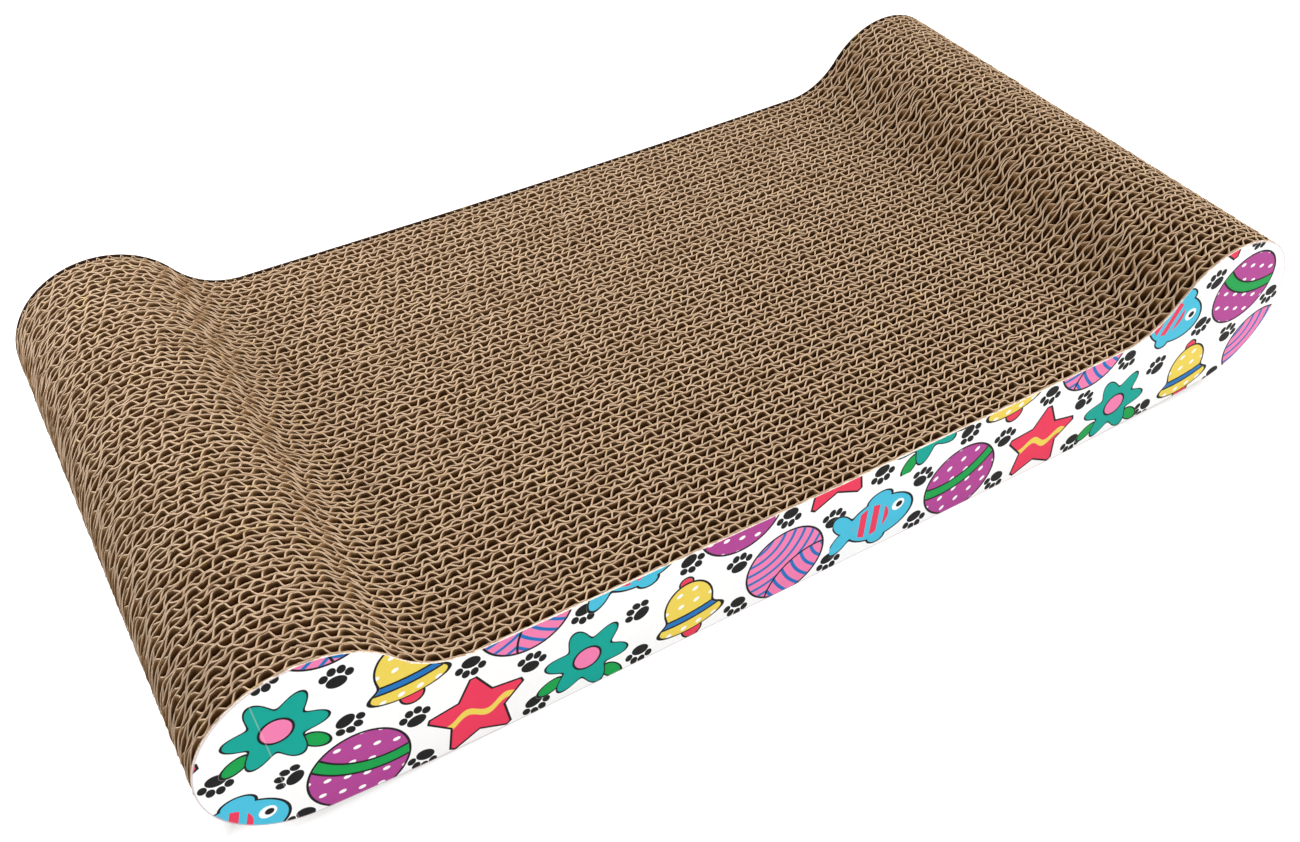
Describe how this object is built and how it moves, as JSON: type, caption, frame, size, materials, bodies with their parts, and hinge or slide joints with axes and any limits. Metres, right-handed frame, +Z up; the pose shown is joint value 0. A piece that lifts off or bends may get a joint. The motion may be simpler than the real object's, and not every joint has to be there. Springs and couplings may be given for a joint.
{
  "type": "cardboard cat scratcher",
  "caption": "Low lounge-shaped cat scratcher of corrugated boards on edge, with a round bolster at each end, a shallow dish between and printed side covers.",
  "frame": {"origin": "the middle of the base, on the floor", "axes": "+X along the length from bolster to bolster, +Y from the front cover to the back cover, +Z up"},
  "size_m": [0.43, 0.209, 0.07],
  "materials": {
    "kraft_board": "raw kraft, cut edges",
    "printed_cover": "printed paper, satin"
  },
  "bodies": {
    "root": {"front_cover": "printed_cover", "board_01": "kraft_board", "board_02": "kraft_board", "board_03": "kraft_board", "board_04": "kraft_board", "board_05": "kraft_board", "board_06": "kraft_board", "board_07": "kraft_board", "board_08": "kraft_board", "board_09": "kraft_board", "board_10": "kraft_board", "board_11": "kraft_board", "board_12": "kraft_board", "board_13": "kraft_board", "board_14": "kraft_board", "board_15": "kraft_board", "board_16": "kraft_board", "board_17": "kraft_board", "board_18": "kraft_board", "board_19": "kraft_board", "board_20": "kraft_board", "board_21": "kraft_board", "board_22": "kraft_board", "board_23": "kraft_board", "board_24": "kraft_board", "board_25": "kraft_board", "board_26": "kraft_board", "board_27": "kraft_board", "board_28": "kraft_board", "board_29": "kraft_board", "board_30": "kraft_board", "board_31": "kraft_board", "board_32": "kraft_board", "board_33": "kraft_board", "board_34": "kraft_board", "board_35": "kraft_board", "board_36": "kraft_board", "board_37": "kraft_board", "closing_board": "kraft_board", "back_cover": "printed_cover"}
  },
  "joints": []
}
